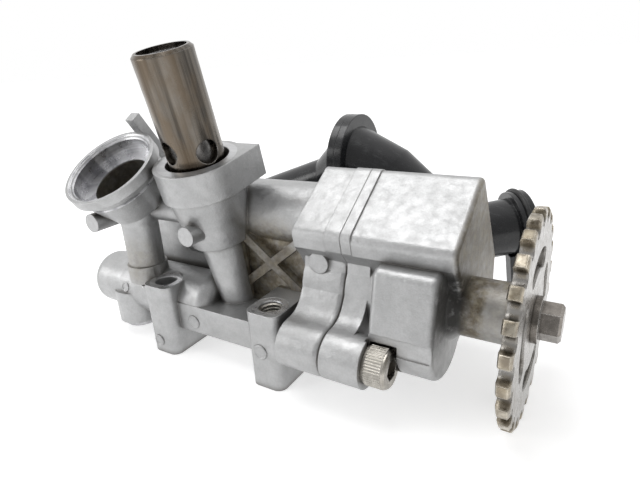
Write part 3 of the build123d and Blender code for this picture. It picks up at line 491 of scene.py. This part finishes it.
    def rings(self, radius, size_mm):
        """Turning marks: noise that varies with the radius alone."""
        return self.noise(size_mm, *RING_TEXTURE, self.along(radius))

    def rounded(self, reach_mm):
        """Normal with its edges rounded."""
        settings = {"samples": BEVEL_SAMPLES}
        return self.add("ShaderNodeBevel", settings, Radius=reach_mm * MM).outputs[0]

    def true_normal(self):
        return self.add("ShaderNodeNewGeometry").outputs["Normal"]

    def edges(self, reach_mm):
        """0 on faces, rising toward 1 on the edges between them."""
        node = self.add("ShaderNodeVectorMath", {"operation": "DOT_PRODUCT"})
        self.join(node, "0", self.rounded(reach_mm))
        self.join(node, "1", self.true_normal())
        return self.span(node.outputs["Value"], EDGE_COSINE, FACE_COSINE, 1.0, 0.0)

    def wear(self, reach_mm, share):
        """Share of bright colour on the edges: wear, with a painted highlight."""
        return self.span(self.edges(reach_mm), 0.0, 1.0, 0.0, share)

    def crevices(self, reach_mm, low, high, strength):
        """Painted shade: 0 in the open, rising toward strength in corners."""
        node = self.add("ShaderNodeAmbientOcclusion", Distance=reach_mm * MM)
        return self.span(node.outputs["AO"], low, high, strength, 0.0)

    def surface(self, colour, roughness=None, metallic=None, bumps=(), edge_mm=0, plain=None):
        """Links what varies. bumps holds (height output, depth in mm) pairs.

        Edges are rounded by edge_mm, but not where plain is 1."""
        varied = (("Base Color", colour), ("Roughness", roughness), ("Metallic", metallic))
        for key, value in varied:
            if value is not None:
                self.join(self.shader, key, value)
        normal = self.rounded(edge_mm) if edge_mm else None
        if plain is not None:
            node = self.add("ShaderNodeMix", {"data_type": "VECTOR"})
            for key, value in (("0", plain), ("4", normal), ("5", self.true_normal())):
                self.join(node, key, value)
            normal = node.outputs[1]
        for height, depth in bumps:
            bump = self.add("ShaderNodeBump", Height=height, Distance=depth * MM)
            if normal is not None:
                self.join(bump, "Normal", normal)
            normal = bump.outputs[0]
        if normal is not None:
            self.join(self.shader, "Normal", normal)
        return self.material


def cast_aluminium():
    """Blasted die casting with machined faces, a fine seam and brown oil stains, worn edges with
    a painted highlight, and painted shade in its corners and at the neck's root.
    """
    g = Graph("cast_aluminium", metallic=CAST_METALLIC, roughness=0.4, colour=CAST)
    axes = g.axes()
    # Bare casting
    patches = g.noise(*PATCH_NOISE)
    colour = g.mix(g.cover(g.noise(*MOTTLE_NOISE)), CAST_DARK, CAST_LIGHT)
    colour = g.mix(g.cover(g.noise(*SPECK_NOISE), *SPECK_COVER), colour, CAST_SPECK)
    colour = g.mix(g.cover(patches, *PATCH_COVER), colour, CAST_PATCH)
    flow = g.noise(*FLOW_NOISE, g.stretched(*FLOW_STRETCH))
    colour = g.mix(g.cover(flow, *FLOW_COVER), colour, CAST_FLOW)
    # Machined: the cup's bore and rim, the valve's seat and the tops of the mounting bosses
    cup = g.about(CUP_BASE, CUP_TILT)
    cup_radius = g.length(cup["X"], cup["Y"])
    bore = g.either(g.zone(cup_radius, cup["Z"], CUP_BORE), g.zone(cup_radius, cup["Z"], CUP_RIM))
    throat = g.zone(cup_radius, cup["Z"], CUP_THROAT)
    hollow = g.either(bore, throat)
    valve = g.about(VALVE_BASE, VALVE_TILT)
    seat = g.zone(g.length(valve["X"], valve["Y"]), valve["Z"], VALVE_SEAT)
    boss_x = g.math("SUBTRACT", g.math("ABSOLUTE", axes["X"]), BOSS_X * MM)
    boss_radius = g.length(boss_x, axes["Y"])
    top = g.zone(boss_radius, axes["Z"], BOSS_TOP)
    turned = g.either(bore, g.either(g.both(seat, SEAT_SHARE), top))
    # Bright edges outside the hollows: wear, with a painted highlight
    colour = g.mix(g.both(g.wear(*CAST_EDGE_BRIGHTENING), g.without(hollow)), colour, CAST_EDGE_WEAR_AND_HIGHLIGHT)
    tool = g.noise(*TOOL_NOISE, g.along(cup["Z"]))
    marks = g.either(g.both(tool, bore), g.both(g.rings(boss_radius, BOSS_RINGS), top))
    spoke = g.add("ShaderNodeCombineXYZ", X=cup["X"], Y=cup["Y"]).outputs[0]
    spoke = g.add("ShaderNodeVectorMath", {"operation": "NORMALIZE"}, Vector=spoke).outputs[0]
    streak = g.add("ShaderNodeTexNoise", Vector=spoke, Scale=STREAK_SCALE, Detail=STREAK_DETAIL)
    streak = g.both(g.cover(streak.outputs["Fac"], *STREAK_COVER), bore)
    bright = g.mix(g.cover(tool, *TOOL_COVER), CUT_DARK, CUT_LIGHT)
    colour = g.mix(turned, colour, g.mix(streak, bright, CUT_STREAK))
    # Painted shade in the corners, held back on the machined faces and the web
    web = g.both(g.spot(WEB_STAIN), g.span_mm(axes["Y"], *WEB_FRONT))
    less_shade = g.either(g.both(turned, CUT_LESS_SHADE), g.both(web, WEB_LESS_SHADE))
    corner_shade = g.both(g.crevices(*CAST_CREVICES), g.without(less_shade))
    colour = g.mix(corner_shade, colour, CAST_CREVICE_SHADE)
    # Brown oil film on the neck, the web, the cup's foot and its throat
    blots = g.noise(*BLOT_NOISE)
    bare = g.both(g.near(axes["X"], *NECK_PATCH), g.span_mm(axes["Y"], *NECK_PATCH_BACK))
    neck = g.span_mm(axes["X"], *NECK_ROOT)
    neck = g.math("SUBTRACT", neck, g.both(bare, NECK_PATCH_SHARE))
    low = g.either(g.spot(CUP_STAIN), g.both(throat, THROAT_STAIN))
    stain = g.either(g.either(neck, web), low)
    stain = g.both(stain, g.span(blots, *STAIN_BREAKS))
    film = g.mix(g.cover(patches, *FILM_COVER), OIL_DARK, OIL_LIGHT)
    colour = g.mix(stain, colour, film)
    # Painted shade in black: a shadow at the neck's root, and shade on the web's ribs and in the
    # throat
    root = g.both(g.span_mm(axes["X"], *NECK_SHADOW_LEFT), g.span_mm(axes["X"], *NECK_SHADOW_RIGHT))
    black_shade = g.both(g.both(g.spot(NECK_SHADOW), g.cover(blots, *NECK_SHADOW_COVER)), root)
    ribs = g.both(web, g.span_mm(axes["Y"], *RIB_BACK))
    black_shade = g.either(g.either(black_shade, g.both(ribs, RIB_SHADE)), g.both(throat, THROAT_SHADE))
    colour = g.mix(black_shade, colour, SHADE_BLACK)
    seam = g.near(axes["X"], *PARTING_SEAM)
    colour = g.mix(g.both(seam, SEAM_SHARE), colour, SEAM_DIRT)
    # Gloss and relief
    rough = g.math("SUBTRACT", g.wander(*CAST_GLOSS), g.both(turned, CUT_GLOSS))
    metal = g.span(g.either(stain, black_shade), 0.0, 1.0, CAST_METALLIC, STAINED_AND_SHADED_METALLIC)
    rest = g.without(turned)
    bumps = [
        (g.both(g.noise(*GRAIN_NOISE), rest), GRAIN_DEPTH),
        (g.both(g.noise(*LUMP_NOISE), rest), LUMP_DEPTH),
        (marks, TOOL_DEPTH),
        (g.without(seam), SEAM_DEPTH),
    ]
    return g.surface(colour, rough, metal, bumps, CAST_EDGE, plain=hollow)


def sleeve_steel():
    """Dark polished steel: bands and streaks along the sleeve under a brown oil film."""
    g = Graph("sleeve_steel", metallic=1.0, roughness=0.22, colour=SLEEVE)
    tilt = (VALVE_TILT, 0, 0)
    bands = g.noise(*BAND_NOISE, g.stretched(BAND_SCALE, tilt))
    streaks = g.noise(*SLEEVE_STREAK_NOISE, g.stretched(SLEEVE_STREAK_SCALE, tilt))
    film = g.noise(*SLEEVE_FILM_NOISE, g.stretched(SLEEVE_FILM_SCALE, tilt))
    colour = g.mix(g.cover(bands, *BAND_COVER), SLEEVE_DARK, SLEEVE_LIGHT)
    colour = g.mix(g.cover(streaks, *SLEEVE_STREAK_COVER), colour, SLEEVE_STREAK)
    colour = g.mix(g.cover(film, *SLEEVE_FILM_COVER), colour, SLEEVE_FILM)
    valve = g.about(VALVE_BASE, VALVE_TILT)
    valve_radius = g.length(valve["X"], valve["Y"])
    inside = g.near(valve_radius, 0.0, SLEEVE_INSIDE_RADIUS, SLEEVE_BLUR)
    # Bright edges outside the bore: wear, with a painted highlight
    colour = g.mix(g.both(g.wear(*SLEEVE_EDGE_BRIGHTENING), g.without(inside)), colour, SLEEVE_EDGE_WEAR_AND_HIGHLIGHT)
    bumps = [(streaks, SLEEVE_STREAK_DEPTH)]
    return g.surface(colour, g.wander(*SLEEVE_GLOSS), None, bumps, SLEEVE_EDGE, plain=inside)


def sprocket_steel():
    """Grey blanked steel with turning marks, teeth worn to a brassy tint, and painted shade
    at the teeth's roots and in the corners.
    """
    g = Graph("sprocket_steel", metallic=1.0, roughness=0.3, colour=WHEEL)
    axes = g.axes()
    y = g.math("SUBTRACT", axes["Y"], SHAFT_Y * MM)
    z = g.math("SUBTRACT", axes["Z"], SHAFT_Z * MM)
    radius = g.length(y, z)
    marks = g.rings(radius, FACE_RINGS)
    face = g.mix(g.cover(marks), FACE_DARK, FACE_LIGHT)
    face = g.mix(g.cover(g.noise(*FACE_STAIN_NOISE), *FACE_STAIN_COVER), face, FACE_STAIN)
    teeth = g.mix(g.cover(g.noise(*TOOTH_NOISE), *TOOTH_COVER), TOOTH_DARK, TOOTH_LIGHT)
    teeth = g.mix(g.cover(g.noise(*BRASSY_NOISE), *BRASSY_COVER), teeth, TOOTH_BRASSY)
    # Painted shade at the teeth's roots, fading out toward the crests
    teeth = g.mix(g.span_mm(radius, *TOOTH_SHADE_FADE), TOOTH_ROOT_SHADE, teeth)
    teeth = g.mix(g.edges(TOOTH_WEAR_REACH), teeth, TOOTH_WORN)
    colour = g.mix(g.span_mm(radius, *TOOTH_START), face, teeth)
    # Painted shade in the corners
    colour = g.mix(g.crevices(*WHEEL_CREVICES), colour, WHEEL_CREVICE_SHADE)
    bumps = [(marks, FACE_RING_DEPTH), (g.noise(WHEEL_GRAIN_SIZE), WHEEL_GRAIN_DEPTH)]
    return g.surface(colour, g.wander(*WHEEL_GLOSS), None, bumps, WHEEL_EDGE)


def plated_steel(name, dark, light, rough_low, rough_high):
    """Plated or ground steel with fine scratches, worn edges with a painted highlight,
    and painted shade in its corners.
    """
    g = Graph(name, metallic=1.0, roughness=0.3, colour=light)
    scratches = g.noise(*SCRATCH_NOISE, g.stretched(*SCRATCH_STRETCH))
    colour = g.mix(g.cover(g.noise(*PLATED_NOISE)), dark, light)
    # Bright edges: wear, with a painted highlight
    colour = g.mix(g.wear(*PLATED_EDGE_BRIGHTENING), colour, PLATED_EDGE_WEAR_AND_HIGHLIGHT)
    # Painted shade in the corners
    colour = g.mix(g.crevices(*PLATED_CREVICES), colour, PLATED_CREVICE_SHADE)
    rough = g.wander(*PLATED_GLOSS, rough_low, rough_high)
    return g.surface(colour, rough, None, [(scratches, SCRATCH_DEPTH)], PLATED_EDGE)


def bush_bronze():
    """Plain bearing bronze with soft blotches."""
    g = Graph("bush_bronze", metallic=1.0, roughness=0.34, colour=BRONZE)
    colour = g.mix(g.wander(*BRONZE_NOISE), BRONZE_DARK, BRONZE_LIGHT)
    bumps = [(g.noise(BRONZE_GRAIN_SIZE), BRONZE_GRAIN_DEPTH)]
    return g.surface(colour, g.wander(*BRONZE_GLOSS), None, bumps)


def pipe_plastic():
    """Glass-filled black plastic: satin, with a faint flow texture and scuffs."""
    g = Graph("pipe_plastic", metallic=0.0, roughness=0.3, colour=PLASTIC)
    scuffs = g.noise(*SCUFF_NOISE, g.stretched(*SCUFF_STRETCH))
    colour = g.mix(g.cover(scuffs, *SCUFF_COVER), PLASTIC_DARK, PLASTIC_SCUFF)
    bumps = [(g.noise(*PLASTIC_GRAIN_NOISE), PLASTIC_GRAIN_DEPTH)]
    return g.surface(colour, g.wander(*PLASTIC_GLOSS), None, bumps, PLASTIC_EDGE)


def mesh_steel():
    """Woven wire: two crossed waves give its height."""
    g = Graph("mesh_steel", metallic=1.0, roughness=0.35, colour=MESH)
    waves = []
    for direction in "YZ":
        settings = {"wave_type": "BANDS", "bands_direction": direction}
        node = g.add("ShaderNodeTexWave", settings, Vector=g.place, Scale=MESH_SCALE)
        waves.append(node.outputs["Fac"])
    height = g.either(*waves)
    colour = g.mix(height, MESH_GAP, MESH_WIRE)
    return g.surface(colour, None, None, [(height, MESH_DEPTH)])


def seal_rubber():
    """Matte black rubber."""
    g = Graph("seal_rubber", metallic=0.0, roughness=0.5, colour=RUBBER)
    colour = g.mix(g.cover(g.noise(*RUBBER_NOISE), *RUBBER_COVER), RUBBER_DARK, RUBBER_LIGHT)
    bumps = [(g.noise(RUBBER_GRAIN_SIZE), RUBBER_GRAIN_DEPTH)]
    return g.surface(colour, g.wander(*RUBBER_GLOSS), None, bumps)


def background_share(tree):
    """1 for the rays that show the background: camera, glossy and transmission rays."""
    path = tree.nodes.new("ShaderNodeLightPath")
    share = path.outputs["Is Camera Ray"]
    for name in ("Is Glossy Ray", "Is Transmission Ray"):
        node = tree.nodes.new("ShaderNodeMath")
        node.operation = "MAXIMUM"
        tree.links.new(share, node.inputs[0])
        tree.links.new(path.outputs[name], node.inputs[1])
        share = node.outputs[0]
    return share


def floor_paint():
    """Pale floor that keeps the object's shadow and is lifted to white for the camera."""
    g = Graph("floor_paint", metallic=0.0, roughness=0.8, colour=FLOOR)
    g.shader.inputs["Specular IOR Level"].default_value = FLOOR_SPECULAR
    g.shader.inputs["Emission Color"].default_value = (1, 1, 1, 1)
    g.join(g.shader, "Emission Strength", g.both(background_share(g.tree), FLOOR_LIFT))
    return g.surface(g.mix(g.wander(*FLOOR_NOISE), FLOOR_DARK, FLOOR_LIGHT))


MATERIALS = {name: plated_steel(name, *finish) for name, finish in PLATED.items()}
for make in (
    cast_aluminium,
    sleeve_steel,
    sprocket_steel,
    bush_bronze,
    pipe_plastic,
    mesh_steel,
    seal_rubber,
):
    MATERIALS[make.__name__] = make()


def dress_cad():
    """Gives each CAD node the material of its slot."""
    slots = {entry["node"]: entry["material_slot"] for entry in frame["record"]["subparts"]}
    for name, node in NODES.items():
        for slot in node.material_slots:
            slot.material = MATERIALS[slots[name]]


def piece(name, verts, faces, slot):
    """A flat-shaded mesh piece on the housing that takes its finish from a slot."""
    mesh = bpy.data.meshes.new(name)
    mesh.from_pydata([tuple(v) for v in verts], [], faces)
    shape = bmesh.new()
    shape.from_mesh(mesh)
    bmesh.ops.recalc_face_normals(shape, faces=shape.faces)
    shape.to_mesh(mesh)
    shape.free()
    mesh.materials.append(MATERIALS[slot])
    obj = bpy.data.objects.new(name, mesh)
    bpy.context.scene.collection.objects.link(obj)
    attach(obj, "housing")


def turned_faces(steps, count, whole=True):
    """Quads that join the steps of a closed profile of count points, all the way round.

    With whole False the last step isn't joined to the first."""
    faces = []
    for i in range(steps if whole else steps - 1):
        here, there = i * count, (i + 1) % steps * count
        for j in range(count):
            k = (j + 1) % count
            faces.append((here + j, here + k, there + k, there + j))
    return faces


def add_knurls():
    """Straight knurling round the head of each cover screw."""
    start = SCREW_HEAD_START + KNURL_START
    end = SCREW_HEAD_START + KNURL_END
    sunk = SCREW_HEAD_RADIUS - KNURL_SINK
    heights = (KNURL_FOOT, KNURL_DEPTH, KNURL_DEPTH, KNURL_FOOT)
    steps = len(heights) * KNURLS
    for number, (y, z) in enumerate(SCREW_PLACES):
        verts = []
        for i in range(steps):
            turn = 2 * pi * i / steps
            ridge = SCREW_HEAD_RADIUS + heights[i % len(heights)]
            profile = [
                (start, sunk),
                (start + KNURL_DEPTH, ridge),
                (end - KNURL_DEPTH, ridge),
                (end, sunk),
            ]
            verts += [metres((x, y + r * cos(turn), z + r * sin(turn))) for x, r in profile]
        name = f"screw_knurl_{number + 1}"
        piece(name, verts, turned_faces(steps, len(profile)), "screw_steel")


def add_marks():
    """Round ejector marks left on the casting."""
    for name, centre, axis, radius in MARKS:
        up = Vector(axis).normalized()
        side = up.orthogonal().normalized()
        other = up.cross(side)
        verts = []
        for i in range(MARK_STEPS):
            turn = 2 * pi * i / MARK_STEPS
            out = side * cos(turn) + other * sin(turn)
            for share, height in MARK_PROFILE:
                verts.append(metres(Vector(centre) + out * share * radius + up * height))
        piece(name, verts, turned_faces(MARK_STEPS, len(MARK_PROFILE)), "cast_aluminium")


def add_web_wing():
    """Thin end of the casting's web behind the cup's neck, with rounded outer corners."""
    outline = [(WING_RIGHT, WING_BOTTOM), (WING_RIGHT, WING_TOP)]
    for centre_z, start in ((WING_TOP - WING_ROUND, 90), (WING_BOTTOM + WING_ROUND, 180)):
        for step in range(WING_CORNER_STEPS + 1):
            turn = radians(start + 90 * step / WING_CORNER_STEPS)
            x = WING_LEFT + WING_ROUND + WING_ROUND * cos(turn)
            outline.append((x, centre_z + WING_ROUND * sin(turn)))
    count = len(outline)
    verts = [metres((x, y, z)) for y in (WING_FRONT, WING_BACK) for x, z in outline]
    faces = [tuple(range(count)), tuple(range(count, 2 * count))]
    for i in range(count):
        j = (i + 1) % count
        faces.append((i, j, count + j, count + i))
    piece("web_wing", verts, faces, "cast_aluminium")


def add_thread():
    """Thread in the right mounting boss: one triangular ridge wound down from its mouth."""
    flank = THREAD_FLANK_SHARE * THREAD_PITCH
    sunk = THREAD_RADIUS + THREAD_SINK
    profile = ((sunk, flank), (THREAD_RADIUS - THREAD_DEPTH, 0.0), (sunk, -flank))
    verts = []
    steps = THREAD_TURNS * THREAD_STEPS + 1
    for i in range(steps):
        turn = 2 * pi * i / THREAD_STEPS
        z = THREAD_START - THREAD_PITCH * i / THREAD_STEPS
        for r, dz in profile:
            verts.append(metres((BOSS_X + r * cos(turn), r * sin(turn), z + dz)))
    faces = turned_faces(steps, len(profile), whole=False)
    last = len(profile) * (steps - 1)
    faces += [(0, 1, 2), (last, last + 2, last + 1)]
    piece("boss_thread", verts, faces, "screw_steel")


def add_camera():
    """The camera of the photograph."""
    data = bpy.data.cameras.new("camera")
    data.lens = CAMERA_LENS
    data.sensor_width = SENSOR_WIDTH
    data.clip_start = CAMERA_CLIP * MM
    camera = bpy.data.objects.new("camera", data)
    camera.location = metres(CAMERA_PLACE)
    camera.rotation_euler = [radians(angle) for angle in CAMERA_TURN]
    bpy.context.scene.collection.objects.link(camera)
    bpy.context.scene.camera = camera


def add_lamp(name, place, target, size, power):
    """Square soft lamp at a place, aimed at a target, all in metres."""
    data = bpy.data.lights.new(name, "AREA")
    data.size = size
    data.energy = power
    lamp = bpy.data.objects.new(name, data)
    lamp.location = place
    lamp.rotation_euler = (Vector(target) - Vector(place)).to_track_quat("-Z", "Y").to_euler()
    bpy.context.scene.collection.objects.link(lamp)


def add_floor():
    """Wide round pale floor."""
    mesh = bpy.data.meshes.new("floor")
    turns = [2 * pi * i / FLOOR_STEPS for i in range(FLOOR_STEPS)]
    rim = [(FLOOR_RADIUS * cos(turn), FLOOR_RADIUS * sin(turn), 0) for turn in turns]
    mesh.from_pydata(rim, [], [range(FLOOR_STEPS)])
    mesh.materials.append(floor_paint())
    floor = bpy.data.objects.new("floor", mesh)
    bpy.context.scene.collection.objects.link(floor)


def add_world():
    """White surroundings that fall off to grey behind the camera for the metal to show."""
    world = bpy.data.worlds.new("studio")
    world.use_nodes = True
    tree = world.node_tree
    back = tree.nodes["Background"]
    direction = tree.nodes.new("ShaderNodeTexCoord").outputs["Generated"]
    dot = tree.nodes.new("ShaderNodeVectorMath")
    dot.operation = "DOT_PRODUCT"
    dot.inputs[1].default_value = AWAY_FROM_CAMERA
    tree.links.new(direction, dot.inputs[0])
    fall = tree.nodes.new("ShaderNodeMapRange")
    fall.interpolation_type = "SMOOTHSTEP"
    fall.inputs["From Min"].default_value = DIM_COSINE
    fall.inputs["From Max"].default_value = BRIGHT_COSINE
    fall.inputs["To Min"].default_value = DIM_LEVEL
    tree.links.new(dot.outputs["Value"], fall.inputs["Value"])
    # The camera sees plain white
    white = tree.nodes.new("ShaderNodeMath")
    white.operation = "MAXIMUM"
    tree.links.new(fall.outputs[0], white.inputs[0])
    tree.links.new(tree.nodes.new("ShaderNodeLightPath").outputs["Is Camera Ray"], white.inputs[1])
    tree.links.new(white.outputs[0], back.inputs["Color"])
    # Full strength for the rays that show the background, less for diffuse light
    level = tree.nodes.new("ShaderNodeMapRange")
    tree.links.new(background_share(tree), level.inputs["Value"])
    level.inputs["To Min"].default_value = WORLD_LIGHT
    tree.links.new(level.outputs[0], back.inputs["Strength"])
    bpy.context.scene.world = world


add_camera()
dress_cad()
add_knurls()
add_marks()
add_web_wing()
add_thread()
add_floor()
add_world()
add_lamp("key", KEY_PLACE, KEY_TARGET, KEY_SIZE, KEY_POWER)
add_lamp("side", SIDE_PLACE, SIDE_TARGET, SIDE_SIZE, SIDE_POWER)
bpy.context.scene.view_settings.view_transform = "Standard"
